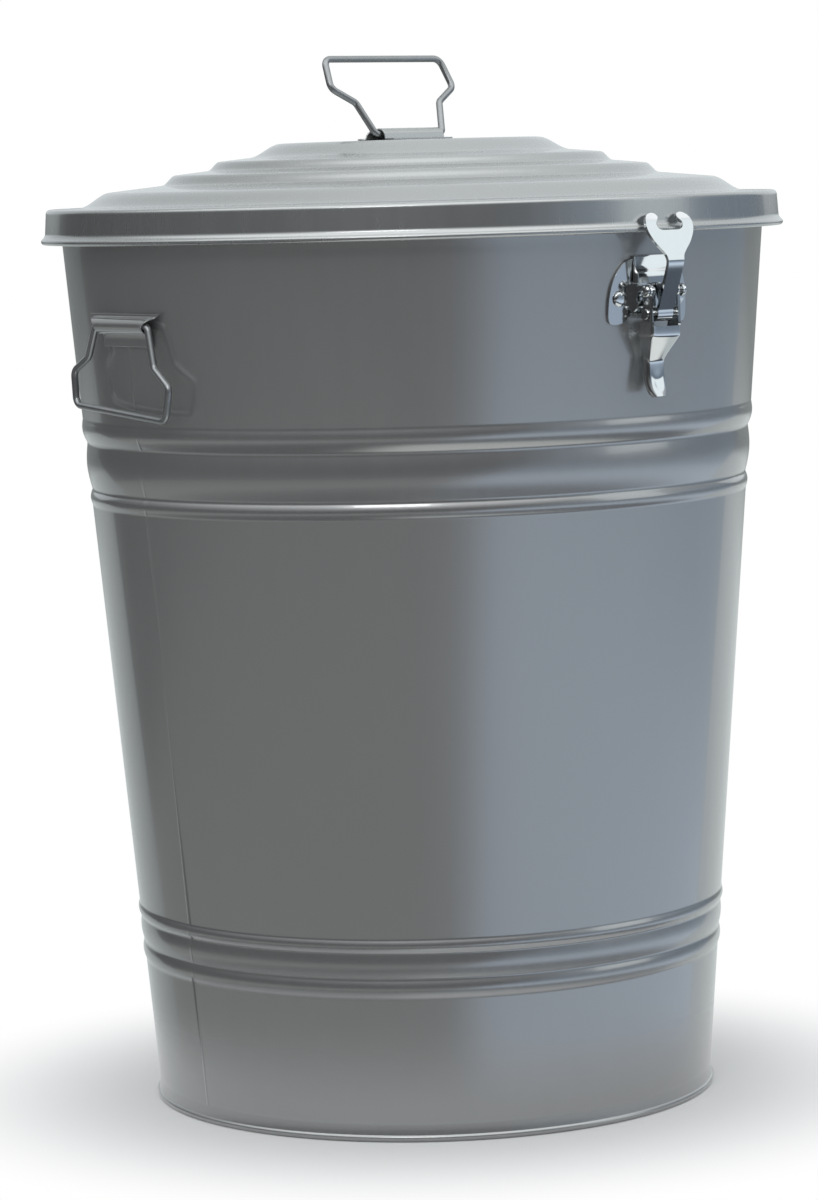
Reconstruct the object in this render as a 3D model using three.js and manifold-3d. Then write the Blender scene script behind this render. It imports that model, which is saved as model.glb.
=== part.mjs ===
// A galvanized steel trash can: a tapered body with two ribbed bands, a stepped lid that lifts off,
// a wire bail on each side and on the lid, and a toggle latch at the front and at the rear.
// Millimetres, +Z up, origin at the bottom centre, front latch facing -Y.
//
// The pieces on the wall are modelled facing the front: x runs across, -y is outwards from the wall and
// z is up. Their outlines are lists of [out, up] or [across, up], measured from the piece's own origin.
import * as THREE from 'three';
import { mergeVertices } from 'three/addons/utils/BufferGeometryUtils.js';
import Module from 'manifold-3d';

const wasm = await Module();
wasm.setup();

// Sheets, clearances and facets
const bodySheet = 0.7;
const lidSheet = 0.7;
const panSheet = 0.8;
const seatGap = 0.3;            // between two pieces that rest on each other
const runningGap = 0.35;        // round a pin, or between two pieces that slide past each other
const aroundFacets = 48;
const pinFacets = 14;
const wireFacets = 8;
const bendSteps = 3;

// Body
const bodyHeight = 495.7;
const bottomRadius = 154.6;     // outside of the wall, carried down to the floor
const topRadius = 195.2;        // outside of the wall, under the rolled rim
const rimBeadRadius = 2.8;
const rimSteps = 6;
const footFlare = 2.5;
const footHeight = 3.2;
const footBlend = 5.0;
const panRise = 9.0;

// The two ribbed bands. Each is a low rib, a belly and a high rib with a groove between them. Depths
// are those of the grooves, and swells are those of the ribs and the belly above them.
const upperBandBelowRim = 114.7;
const upperBand = {
  height: 47.5, lowRib: 8.5, highRib: 13,
  lowDepth: 0.9, highDepth: 1.1, lowSwell: 1.1, bellySwell: 1.6, highSwell: 1.4,
};
const lowerBandUp = 110;        // the band's upper edge above the floor
const lowerBand = {
  height: 32, lowRib: 10.5, highRib: 7.5,
  lowDepth: 0.2, highDepth: 0.2, lowSwell: 1.1, bellySwell: 0.9, highSwell: 1.1,
};
const ribSteps = 3;
const bellySteps = 4;

// Lid
const lidPlay = 2.43;           // between the body's rim and the skirt
const skirtHeight = 12.5;       // straight part of the skirt, under the gutter
const skirtCorner = 2.0;
const lipFlare = 2.4;           // how far the lip stands out from the skirt
const lipHeight = 5.0;
// The steps in the lid: a shelf that rises a little inwards, then a slope of that run and rise.
const gutterTerrace = { shelf: 19, lean: 0.4, run: 18, drop: 8.1 };
const outerTerrace = { shelf: 28, lean: 2.8, run: 8, drop: 5.6 };
const innerTerrace = { shelf: 17.5, lean: 1.8, run: 7, drop: 5.0 };
const crownTerrace = { shelf: 15.5, lean: 1.5, run: 19, drop: 7.5 };
const terraceSteps = 3;

// Bails and their brackets
const wireRadius = 1.9;
const bailPinHalfGap = 6;       // between the two wire ends inside the bracket
const bailShoulder = 25;        // half width where the legs leave the bracket
const bailWaist = 31.5;
const bailHip = 46;
const bailFoot = 43.2;
const bailWaistDrop = 19.5;
const bailHipDrop = 28.5;
const bailDrop = 46.5;
const bailBend = 4.5;           // from a corner to where its bend starts
const shoulderBend = 2.8;
const sideBailSkew = 4.5;       // degrees by which a side bail hangs out of square
const bracketSheet = 1.0;
const barrelRadius = 4.5;
const pivotOut = 3.6;           // wire centre above the sheet that carries the bracket
const longFlange = 7.0;
const shortFlange = 2.6;
const bracketEar = 9.5;         // how far the top corners reach past the barrel
const barrelSteps = 7;
const handleBelowRim = 60.2;
const handleTurn = 93;          // degrees from a latch to the bail beside it
const lidHandleTurn = 3;
const lidHandleLean = 26;       // degrees from upright in the rest pose

// Latches
const latchBelowRim = 48.7;     // the lever's pivot
const pivotFromWall = 11.7;
const clawPinIn = 2.7;          // claw pin, from the lever's pivot towards the wall
const clawPinDown = 12.0;
const pinRadius = 2.0;
const earPlay = 0.5;            // between a cheek of the lever and the ear beside it
const plateSheet = 1.3;
const earSheet = 1.4;
const earRadius = 3.4;
const earFootDown = 10;         // where the ears' lower edge meets the plate
const wingHalfWidth = 26.7;
const wingUp = 17.0;
const wingDown = 16.8;
const bridgeUp = 18.2;
const bridgeDown = 4.0;         // lower edge of the bridge, still above the pivot
const bridgeOut = 5.2;
const bridgeSlope = 8.6;
const wallRivetAcross = 20.5;   // from the middle of the latch
const wallRivetDown = 3.5;
const wallRivetHead = 4.2;
const wallRivetTail = 3.6;
const pivotRivetHead = 3.2;
const pivotRivetTail = 2.9;
const rivetHeadHeight = 1.9;
const rivetTailHeight = 0.8;
const peenRim = 0.8;            // how far the claw pin's ends spread past its shank
const peenHeight = 0.7;

const leverSheet = 1.2;
const leverHalfWidth = 10.4;
const leverCheekOut = 1.9;      // front edge of the cheeks, out from the pivot
const leverTopUp = 3.4;
const leverWebDown = 20.0;      // where the front web begins
const leverShoulderDown = 24.0;
const leverLength = 55.6;       // pivot to tip
const gripDown = 37.5;          // where the grip begins
const gripIn = 6.9;             // middle of the grip's front, in from the pivot
const gripDepth = 3.6;
const gripHalfWidth = 5.4;

const clawSheet = 1.8;
const eyeSheet = 1.5;
const clawNeckHalfWidth = 5.2;
const clawFingerHalfWidth = 16.4;
const clawThroatHalfWidth = 7.0;
const clawThroatDepth = 3.2;    // below the top of the lip
const clawFingerRise = 7.5;     // above the top of the lip
const clawBendOut = 7.0;        // where the claw leans back, out from the lip
const clawBendDown = 20.5;
const hookGap = 0.7;
const hookReach = 1.5;          // how far the fingers reach over the lip

// Places that follow from the sizes
const rimCentre = bodyHeight - rimBeadRadius;
const rimOut = wallRadius(rimCentre) - bodySheet + rimBeadRadius;
const skirtRadius = rimOut + rimBeadRadius + lidPlay + lidSheet;
const lipRadius = skirtRadius + lipFlare;
const terraces = [gutterTerrace, outerTerrace, innerTerrace, crownTerrace];
const gutterTop = bodyHeight + seatGap + lidSheet;
const lidTop = gutterTop + terraces.reduce((sum, terrace) => sum + terrace.lean + terrace.drop, 0);
const handleHeight = bodyHeight - handleBelowRim;
const latchHeight = bodyHeight - latchBelowRim;
const wallTaper = Math.atan((topRadius - bottomRadius) / bodyHeight);
const facetSag = topRadius * (1 - Math.cos(Math.PI / aroundFacets));
const lipTop = gutterTop - skirtCorner - skirtHeight;
const latchWall = wallRadius(latchHeight);
const latchLip = { out: lipRadius - latchWall, up: lipTop - latchHeight };
const earInside = leverHalfWidth + earPlay;
const earOutside = earInside + earSheet;
const clawPinOut = pivotFromWall - clawPinIn;
const clawPinHole = pinRadius + runningGap;

const galvanized = { color: 0x9aa2a6, roughness: 0.5, metalness: 0.75 };
const lidFinish = { color: 0xb4bbbd, roughness: 0.45, metalness: 0.75 };
const wireFinish = { color: 0x7c8488, roughness: 0.4, metalness: 0.85 };
const chrome = { color: 0xd4dade, roughness: 0.15, metalness: 1.0 };

// ---- outlines ----

function wallRadius(height) {
  return bottomRadius + (topRadius - bottomRadius) * height / bodyHeight;
}

// How far the wall lies out from the latch's own origin, at a height above that origin.
function wallOut(up) {
  return wallRadius(latchHeight + up) - latchWall;
}

// Moves each point of an open path sideways by a distance, to its left when that is positive.
function offsetPath(path, distance) {
  const normalOf = (a, b) => {
    const length = Math.hypot(b[0] - a[0], b[1] - a[1]);
    return [-(b[1] - a[1]) / length, (b[0] - a[0]) / length];
  };
  return path.map((point, i) => {
    const before = normalOf(path[Math.max(i - 1, 0)], path[Math.max(i, 1)]);
    const after = normalOf(path[Math.min(i, path.length - 2)], path[Math.min(i + 1, path.length - 1)]);
    const spread = 1 + before[0] * after[0] + before[1] * after[1];
    return [
      point[0] + distance * (before[0] + after[0]) / spread,
      point[1] + distance * (before[1] + after[1]) / spread,
    ];
  });
}

// A bent strip of sheet, seen from its edge: the path with half the sheet on each side.
function stripOutline(path, sheet) {
  return [...offsetPath(path, -sheet / 2), ...offsetPath(path, sheet / 2).reverse()];
}

function arc(centre, radius, from, to, steps) {
  return Array.from({ length: steps + 1 }, (_, i) => {
    const angle = THREE.MathUtils.degToRad(from + (to - from) * i / steps);
    return [centre[0] + radius * Math.cos(angle), centre[1] + radius * Math.sin(angle)];
  });
}

// Completes a half outline, given from the top middle down its right side, with its mirror image.
function mirrored(half) {
  return [...half, ...half.map(([across, up]) => [-across, up]).reverse()];
}

// One swelling of a band, from one height to the next, as depths below or above the plain wall.
function swelling(from, to, fromDepth, toDepth, swell, steps) {
  return Array.from({ length: steps }, (_, i) => {
    const part = (i + 1) / steps;
    const height = from + (to - from) * part;
    const rise = swell * Math.sin(Math.PI * part) - (fromDepth + (toDepth - fromDepth) * part);
    return [wallRadius(height) + rise, height];
  });
}

function bandPath(band, top) {
  const bottom = top - band.height;
  const lowGroove = bottom + band.lowRib;
  const highGroove = top - band.highRib;
  return [
    [wallRadius(bottom), bottom],
    ...swelling(bottom, lowGroove, 0, band.lowDepth, band.lowSwell, ribSteps),
    ...swelling(lowGroove, highGroove, band.lowDepth, band.highDepth, band.bellySwell, bellySteps),
    ...swelling(highGroove, top, band.highDepth, 0, band.highSwell, ribSteps),
  ];
}

// One step of the lid, from its foot at a radius and height inwards to its top.
function terracePath(terrace, radius, foot) {
  return Array.from({ length: terraceSteps + 1 }, (_, i) => {
    const part = i / terraceSteps;
    const rise = terrace.drop * (1 - Math.cos(Math.PI * part)) / 2;
    return [radius - terrace.run * part, foot + rise];
  });
}

// ---- solids ----

function lathe(outline, facets = aroundFacets) {
  const points = outline.map(([radius, height]) => new THREE.Vector2(Math.max(radius, 0), height));
  return new THREE.LatheGeometry(points, facets).rotateX(Math.PI / 2);
}

function extrude(outline, depth) {
  const shape = new THREE.Shape(outline.map(([x, y]) => new THREE.Vector2(x, y)));
  return new THREE.ExtrudeGeometry(shape, { depth, bevelEnabled: false });
}

// Extrudes an outline of [out, up] across the piece, from one x to another.
function across(outline, fromX, toX) {
  const basis = new THREE.Matrix4().makeBasis(
    new THREE.Vector3(0, -1, 0), new THREE.Vector3(0, 0, 1), new THREE.Vector3(-1, 0, 0));
  return solid(extrude(outline, toX - fromX).applyMatrix4(basis).translate(toX, 0, 0));
}

// Extrudes an outline of [across, up] outwards, from one distance off the wall to another.
function outwards(outline, near, far) {
  const basis = new THREE.Matrix4().makeBasis(
    new THREE.Vector3(1, 0, 0), new THREE.Vector3(0, 0, 1), new THREE.Vector3(0, -1, 0));
  return solid(extrude(outline, far - near).applyMatrix4(basis).translate(0, -near, 0));
}

// A round bar along x, centred on [out, up].
function bar(radius, out, up, fromX, toX) {
  const geometry = new THREE.CylinderGeometry(radius, radius, toX - fromX, pinFacets);
  return solid(geometry.rotateZ(Math.PI / 2).translate((fromX + toX) / 2, -out, up));
}

function solid(geometry) {
  const bare = geometry.clone();
  bare.deleteAttribute('normal');
  bare.deleteAttribute('uv');
  const merged = mergeVertices(bare, 1e-4);
  const corners = merged.index.array;
  const kept = [];
  for (let i = 0; i < corners.length; i += 3) {
    const [a, b, c] = corners.slice(i, i + 3);
    if (a !== b && b !== c && c !== a) kept.push(a, b, c);
  }
  return new wasm.Manifold(new wasm.Mesh({
    numProp: 3,
    vertProperties: new Float32Array(merged.attributes.position.array),
    triVerts: new Uint32Array(kept),
  }));
}

function unite(...solids) {
  return solids.reduce((whole, next) => whole.add(next));
}

function named(name, shape, finish) {
  let geometry = shape;
  if (!(shape instanceof THREE.BufferGeometry)) {
    const mesh = shape.getMesh();
    geometry = new THREE.BufferGeometry();
    geometry.setAttribute('position', new THREE.BufferAttribute(mesh.vertProperties, 3));
    geometry.setIndex(new THREE.BufferAttribute(mesh.triVerts, 1));
  }
  geometry.computeVertexNormals();
  const mesh = new THREE.Mesh(geometry, new THREE.MeshStandardMaterial(finish));
  mesh.name = name;
  return mesh;
}

function groupOf(...children) {
  const group = new THREE.Group();
  group.add(...children);
  return group;
}

// ---- body ----

// The holes for the rivets of both latches, cut through whatever the wall carries there.
function wallRivetPlaces() {
  const turn = Math.asin(wallRivetAcross / latchWall);
  return [-turn, turn];
}

function wallRivetFrame(turn) {
  const height = latchHeight - wallRivetDown;
  return new THREE.Matrix4().makeRotationZ(turn)
    .multiply(new THREE.Matrix4().makeTranslation(0, -wallRadius(height), height))
    .multiply(new THREE.Matrix4().makeRotationX(wallTaper));
}

function rivetHole(turn) {
  const reach = wallRivetHead * 2;
  const geometry = new THREE.CylinderGeometry(
    pinRadius + seatGap, pinRadius + seatGap, reach, pinFacets);
  return solid(geometry.applyMatrix4(wallRivetFrame(turn)));
}

function bodyShell() {
  const wallPath = [
    [wallRadius(footHeight + footBlend), footHeight + footBlend],
    ...bandPath(lowerBand, lowerBandUp),
    ...bandPath(upperBand, bodyHeight - upperBandBelowRim),
  ];
  const rimEntry = THREE.MathUtils.radToDeg(Math.acos(1 - bodySheet / rimBeadRadius));
  const outline = [
    [bottomRadius - bodySheet, 0],
    [bottomRadius + footFlare, 0],
    [bottomRadius + footFlare, footHeight],
    ...wallPath,
    ...arc([rimOut, rimCentre], rimBeadRadius, rimEntry - 180, 180, rimSteps),
    ...offsetPath(wallPath, bodySheet).reverse(),
  ];
  let shell = solid(lathe([...outline, outline[0]]));
  for (const side of [0, Math.PI]) {
    for (const turn of wallRivetPlaces()) shell = shell.subtract(rivetHole(side + turn));
  }
  return named('body_shell', shell, galvanized);
}

function bottomPan() {
  const inside = (height) => wallRadius(height) - bodySheet - seatGap;
  return named('bottom_pan', solid(lathe([
    [0, panRise - panSheet],
    [inside(panRise) - panSheet, panRise - panSheet],
    [inside(seatGap) - panSheet, seatGap],
    [inside(seatGap), seatGap],
    [inside(panRise), panRise],
    [0, panRise],
  ])), galvanized);
}

// ---- bails ----

// Half of the bail, hanging, as [across, up] from its pivot, turned by the skew below the pins.
function bailCorners(skew) {
  const turned = ([x, z]) => [
    x * Math.cos(skew) - z * Math.sin(skew),
    x * Math.sin(skew) + z * Math.cos(skew),
  ];
  const right = [[bailWaist, -bailWaistDrop], [bailHip, -bailHipDrop], [bailFoot, -bailDrop]];
  const left = right.map(([x, z]) => [-x, z]).reverse();
  return [
    [bailPinHalfGap, 0], [bailShoulder, 0], ...right.map(turned),
    ...left.map(turned), [-bailShoulder, 0], [-bailPinHalfGap, 0],
  ];
}

// The corners rounded off, as the points that the wire's rings stand on.
function roundedCorners(corners, bends) {
  const points = corners.map(([x, z]) => new THREE.Vector3(x, 0, z));
  const rounded = [points[0]];
  for (let i = 1; i < points.length - 1; i += 1) {
    const before = points[i - 1].clone().sub(points[i]).setLength(bends[i]).add(points[i]);
    const after = points[i + 1].clone().sub(points[i]).setLength(bends[i]).add(points[i]);
    rounded.push(...new THREE.QuadraticBezierCurve3(before, points[i], after).getPoints(bendSteps));
  }
  return [...rounded, points[points.length - 1]];
}

// A path of straight stretches whose even steps land on its own points.
class WirePath extends THREE.Curve {
  constructor(points) {
    super();
    this.points = points;
  }

  getPoint(t, target = new THREE.Vector3()) {
    const place = Math.min(Math.max(t, 0), 1) * (this.points.length - 1);
    const before = Math.min(Math.floor(place), this.points.length - 2);
    return target.lerpVectors(this.points[before], this.points[before + 1], place - before);
  }

  getUtoTmapping(u) {
    return u;
  }
}

function bail(name, skew) {
  const section = new THREE.Shape(arc([0, 0], wireRadius, 0, 360, wireFacets)
    .slice(0, wireFacets).map(([x, y]) => new THREE.Vector2(x, y)));
  const corners = bailCorners(skew);
  const bends = corners.map((_, i) => (i === 1 || i === corners.length - 2 ? shoulderBend : bailBend));
  const points = roundedCorners(corners, bends);
  const geometry = new THREE.ExtrudeGeometry(section, {
    steps: points.length - 1, extrudePath: new WirePath(points), curveSegments: 1,
  });
  return named(name, geometry, wireFinish);
}

// The bracket's sheet: a half-round barrel over the pins, a long flange below and a short one above.
// Its ends slant, so that the top corners reach past the barrel as two small ears.
function bailBracket(name, finish) {
  const sheetOut = seatGap + bracketSheet / 2;
  const barrelMiddle = barrelRadius - bracketSheet / 2;
  const barrelOut = pivotOut + wireRadius + runningGap - (barrelRadius - bracketSheet);
  const sheetPath = [
    [sheetOut, -barrelRadius - longFlange],
    [sheetOut, -barrelMiddle],
    ...arc([barrelOut, 0], barrelMiddle, -90, 90, barrelSteps),
    [sheetOut, barrelMiddle],
    [sheetOut, barrelRadius + shortFlange],
  ];
  const barrelHalf = bailShoulder - shoulderBend - runningGap;
  const front = mirrored([
    [0, barrelRadius + shortFlange + 1],
    [barrelHalf + bracketEar, barrelRadius + shortFlange + 1],
    [barrelHalf + bracketEar, barrelRadius + shortFlange / 2],
    [barrelHalf, barrelRadius + seatGap / 2],
    [barrelHalf, -barrelRadius - longFlange - 1],
    [0, -barrelRadius - longFlange - 1],
  ].slice(1, -1));
  const bracket = across(stripOutline(sheetPath, bracketSheet), -bailHip, bailHip)
    .intersect(outwards(front, 0, 2 * barrelRadius));
  return named(name, bracket, finish);
}

function sideHandle(side, turn) {
  const wire = groupOf(bail(`handle_wire_${side}`, THREE.MathUtils.degToRad(-sideBailSkew)));
  wire.position.set(0, -pivotOut, 0);
  wire.rotation.x = -wallTaper;
  const onWall = groupOf(bailBracket(`handle_bracket_${side}`, galvanized), wire);
  onWall.position.set(0, -wallRadius(handleHeight), handleHeight);
  onWall.rotation.x = wallTaper;
  const handle = groupOf(onWall);
  handle.rotation.z = turn;
  return handle;
}

// ---- lid ----

function lidShell() {
  const topPath = [
    [skirtRadius, lipTop + lidSheet],
    ...arc([skirtRadius - skirtCorner, gutterTop - skirtCorner], skirtCorner, 0, 90, 3),
  ];
  let radius = skirtRadius;
  let level = gutterTop;
  for (const terrace of terraces) {
    topPath.push(...terracePath(terrace, radius - terrace.shelf, level + terrace.lean));
    radius -= terrace.shelf + terrace.run;
    level += terrace.lean + terrace.drop;
  }
  topPath.push([0, lidTop]);
  const lip = [
    [lipRadius - lidSheet / 2, lipTop - lidSheet],
    [lipRadius, lipTop - 2 * lidSheet],
    [lipRadius, lipTop - lipHeight + lidSheet],
    [lipRadius - lidSheet, lipTop - lipHeight],
    [skirtRadius, lipTop - lipHeight],
  ];
  const underPath = offsetPath(topPath, lidSheet);
  return named('lid_shell', solid(lathe([...underPath.reverse(), ...lip.reverse(), ...topPath])), lidFinish);
}

function lidHandle() {
  const wire = groupOf(bail('lid_handle_wire', 0));
  wire.position.set(0, -pivotOut, 0);
  wire.rotation.x = THREE.MathUtils.degToRad(-90 - lidHandleLean);
  const flat = groupOf(bailBracket('lid_handle_bracket', lidFinish), wire);
  flat.rotation.x = -Math.PI / 2;
  const handle = groupOf(flat);
  handle.position.z = lidTop;
  handle.rotation.z = THREE.MathUtils.degToRad(lidHandleTurn);
  return handle;
}

// ---- latches ----

// The latch's origin is on the wall, at the height of the lever's pivot.
function toLatch(shape) {
  return shape.translate(0, latchWall, -latchHeight);
}

// A sheet bent to the wall, one seat gap off it, as thick as the base plate.
function curvedPlate() {
  const low = latchHeight - wingDown - plateSheet;
  const high = latchHeight + bridgeUp + plateSheet;
  const inner = (height) => wallRadius(height) + seatGap;
  const ring = [
    [inner(low), low], [inner(low) + plateSheet, low],
    [inner(high) + plateSheet, high], [inner(high), high],
  ];
  return solid(lathe([...ring, ring[0]]).translate(0, latchWall, -latchHeight));
}

function wingOutline() {
  const wing = wingHalfWidth - earOutside;
  const corner = 0.15 * wing;
  return mirrored([
    [earOutside, wingUp],
    [earOutside + 0.5 * wing, 0.82 * wingUp],
    [earOutside + 0.87 * wing, 0.4 * wingUp],
    [wingHalfWidth, -0.2 * wingDown],
    [wingHalfWidth, corner - wingDown],
    [wingHalfWidth - corner, -wingDown],
    [earOutside + 0.3 * wing, -wingDown],
    [earOutside, -0.7 * wingDown],
  ]);
}

// One side plate of the base: an outline of [out, up], as thick as an ear, outside the lever's cheek.
function sidePlate(outline, side) {
  const inside = side * earInside;
  const outside = side * earOutside;
  return across(outline, Math.min(inside, outside), Math.max(inside, outside));
}

// The raised bridge over the middle of the plate: sloping above, upright below, open at the bottom.
function bridge() {
  const seat = seatGap + plateSheet / 2;
  const coverOut = bridgeOut - plateSheet / 2;
  const path = [
    [wallOut(bridgeUp) + seat, bridgeUp],
    [0.5 * (wallOut(bridgeUp) + seat + coverOut), bridgeUp - plateSheet],
    [coverOut, bridgeUp - bridgeSlope],
    [coverOut, bridgeDown],
  ];
  const cover = across(stripOutline(path, plateSheet), -earOutside, earOutside);
  const cheek = [...path, [wallOut(bridgeDown) + seat, bridgeDown]];
  return unite(cover, sidePlate(cheek, -1), sidePlate(cheek, 1));
}

function ear(side) {
  const seat = seatGap + plateSheet / 2;
  return sidePlate([
    [wallOut(bridgeDown) + seat, bridgeDown + plateSheet],
    [wallOut(-earFootDown) + seat, -earFootDown],
    [wallOut(-earFootDown) + seat + plateSheet, plateSheet - earFootDown],
    ...arc([pivotFromWall, 0], earRadius, -55, 100, 6),
  ], side);
}

function latchBase(name) {
  const plate = curvedPlate().intersect(outwards(wingOutline(), -bridgeUp, bridgeUp));
  let base = unite(plate, bridge(), ear(-1), ear(1));
  base = base.subtract(bar(pinRadius + runningGap, pivotFromWall, 0, -wingHalfWidth, wingHalfWidth));
  for (const turn of wallRivetPlaces()) base = base.subtract(toLatch(rivetHole(turn)));
  return named(name, base, chrome);
}

// The lever's front edge, from its top down to the tip, as [out, up] from the wall.
function leverFront() {
  const cheek = pivotFromWall + leverCheekOut;
  const grip = pivotFromWall - gripIn;
  const gripLength = leverLength - gripDown;
  return [
    [cheek, 0.75 * leverTopUp],
    [cheek, -leverWebDown],
    [cheek - leverSheet / 2, -leverShoulderDown],
    [0.5 * (cheek + grip), 0.5 * (-leverShoulderDown - gripDown)],
    [grip + leverSheet / 2, -gripDown],
    [grip, -gripDown - 0.25 * gripLength],
    [grip + leverSheet / 2, -gripDown - 0.6 * gripLength],
    [grip + 2.5 * leverSheet, -leverLength],
  ];
}

// The lever's back edge, from the tip up to its top.
function leverBack() {
  const grip = pivotFromWall - gripIn - gripDepth;
  const gripLength = leverLength - gripDown;
  return [
    [pivotFromWall - gripIn + leverSheet, -leverLength],
    [grip + 2 * leverSheet, -gripDown - 0.7 * gripLength],
    [grip, -gripDown - 0.25 * gripLength],
    [grip, -gripDown],
    [grip + leverSheet, 0.5 * (-leverShoulderDown - gripDown)],
    [clawPinOut - 2 * clawPinHole, -clawPinDown],
    [clawPinOut - clawPinHole, 0.5 * -clawPinDown],
    [pivotFromWall - leverTopUp, 0],
    [pivotFromWall - 0.5 * leverTopUp, 0.9 * leverTopUp],
    [pivotFromWall, leverTopUp],
  ];
}

// Half of the lever seen from the front, as wide as its cheeks above and as its grip below.
function leverHalfFront(inset) {
  const gripMiddle = 0.5 * (-gripDown - leverLength);
  return [
    [leverHalfWidth - inset, 2 * leverTopUp],
    [leverHalfWidth - inset, -leverShoulderDown],
    [gripHalfWidth + leverSheet - inset, 0.5 * (-leverShoulderDown - gripDown)],
    [gripHalfWidth - inset, -gripDown],
    [gripHalfWidth + leverSheet / 2 - inset, gripMiddle],
    [gripHalfWidth - leverSheet - inset, -leverLength - leverSheet],
  ];
}

// The lever is one folded sheet: two cheeks, joined below by the shoulder and the grip, open behind.
function lever(name) {
  const front = leverFront();
  const far = 2 * leverHalfWidth;
  const outer = across([...front, ...leverBack()], -leverHalfWidth, leverHalfWidth)
    .intersect(outwards(mirrored(leverHalfFront(0)), -far, far));
  const webInside = offsetPath(front.slice(1), -leverSheet).slice(0, -1);
  const hollow = across(
    [[-far, far], [far, far], [far, -leverWebDown], ...webInside, [-far, -leverLength]], -far, far)
    .intersect(outwards(mirrored([
      [leverHalfWidth - leverSheet, far], ...leverHalfFront(leverSheet).slice(1, -1),
    ]), -far, far));
  const shape = outer.subtract(hollow)
    .subtract(bar(clawPinHole, pivotFromWall, 0, -far, far))
    .subtract(bar(clawPinHole, clawPinOut, -clawPinDown, -far, far));
  return named(name, shape, chrome);
}

// The claw seen from its edge: up from its eye to a bend, then leaning in and over the lid's lip.
function clawPath() {
  const bend = [latchLip.out + clawBendOut, latchLip.up - clawBendDown];
  const eyeMiddle = clawPinHole + eyeSheet / 2;
  const lean = Math.atan2(bend[0] - clawPinOut - eyeMiddle, bend[1] + clawPinDown);
  return [
    [clawPinOut + eyeMiddle * Math.cos(lean), -clawPinDown - eyeMiddle * Math.sin(lean)],
    bend,
    [latchLip.out + hookGap + clawSheet, latchLip.up - clawSheet],
    [latchLip.out - hookReach + clawSheet / 2, latchLip.up + hookGap + 2 * clawSheet],
  ];
}

// Half of the claw seen from the front: the throat, a crescent finger beside it, and the neck.
function clawHalfFront() {
  const neckUp = latchLip.up - clawBendDown;
  const crescent = clawFingerHalfWidth - clawNeckHalfWidth;
  return [
    [clawThroatHalfWidth, latchLip.up - clawThroatDepth],
    [1.17 * clawThroatHalfWidth, latchLip.up + 0.27 * clawFingerRise],
    [clawThroatHalfWidth, latchLip.up + 0.73 * clawFingerRise],
    [clawFingerHalfWidth - 0.27 * crescent, latchLip.up + clawFingerRise],
    [clawFingerHalfWidth - 0.05 * crescent, latchLip.up + 0.6 * clawFingerRise],
    [clawFingerHalfWidth, latchLip.up],
    [clawFingerHalfWidth - 0.14 * crescent, 0.68 * latchLip.up + 0.32 * neckUp],
    [clawFingerHalfWidth - 0.48 * crescent, 0.39 * latchLip.up + 0.61 * neckUp],
    [clawNeckHalfWidth + 0.16 * crescent, 0.2 * latchLip.up + 0.8 * neckUp],
    [clawNeckHalfWidth, neckUp],
    [clawNeckHalfWidth, -2 * clawPinDown],
  ];
}

function claw(name) {
  const far = 2 * clawFingerHalfWidth;
  const strip = across(stripOutline(clawPath(), clawSheet), -far, far);
  const shape = strip.intersect(outwards(mirrored(clawHalfFront()), -far, far))
    .add(bar(clawPinHole + eyeSheet, clawPinOut, -clawPinDown, -clawNeckHalfWidth, clawNeckHalfWidth))
    .subtract(bar(clawPinHole, clawPinOut, -clawPinDown, -far, far));
  return named(name, shape, chrome);
}

// The pin that carries the claw: a plain shank with a peened end outside each cheek of the lever.
function clawPin(name) {
  const peen = leverHalfWidth + seatGap;
  const shape = unite(
    bar(pinRadius, clawPinOut, -clawPinDown, -peen, peen),
    bar(pinRadius + peenRim, clawPinOut, -clawPinDown, -peen - peenHeight, -peen),
    bar(pinRadius + peenRim, clawPinOut, -clawPinDown, peen, peen + peenHeight),
  );
  return named(name, shape, chrome);
}

// A rivet with a domed head above the origin and a flat tail at the far end of its grip.
function rivet(head, grip, tail) {
  return new THREE.LatheGeometry([
    [0, -grip - rivetTailHeight], [tail, -grip - rivetTailHeight], [tail, -grip],
    [pinRadius, -grip], [pinRadius, 0], [head, 0],
    [0.93 * head, 0.45 * rivetHeadHeight], [0.6 * head, 0.85 * rivetHeadHeight], [0, rivetHeadHeight],
  ].map(([radius, height]) => new THREE.Vector2(radius, height)), pinFacets);
}

function pivotRivet(name, side) {
  const grip = earSheet + earPlay + leverSheet + 2 * seatGap;
  const geometry = rivet(pivotRivetHead, grip, pivotRivetTail)
    .rotateZ(-side * Math.PI / 2).translate(side * (earOutside + seatGap), -pivotFromWall, 0);
  return named(name, solid(geometry), chrome);
}

function wallRivet(name, turn) {
  const seat = plateSheet + 2 * seatGap;
  const geometry = rivet(wallRivetHead, seat + bodySheet + facetSag + seatGap, wallRivetTail)
    .rotateX(Math.PI).translate(0, -seat, 0).applyMatrix4(wallRivetFrame(turn));
  return named(name, toLatch(solid(geometry)), chrome);
}

function latch(end, turn) {
  const [leftTurn, rightTurn] = wallRivetPlaces();
  const onWall = groupOf(
    latchBase(`latch_base_${end}`),
    wallRivet(`wall_rivet_${end}_left`, leftTurn),
    wallRivet(`wall_rivet_${end}_right`, rightTurn),
    pivotRivet(`pivot_rivet_${end}_left`, -1),
    pivotRivet(`pivot_rivet_${end}_right`, 1),
    lever(`lever_${end}`),
    clawPin(`claw_pin_${end}`),
    claw(`claw_${end}`),
  );
  onWall.position.set(0, -latchWall, latchHeight);
  const whole = groupOf(onWall);
  whole.rotation.z = turn;
  return whole;
}

// ---- the whole can ----

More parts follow.
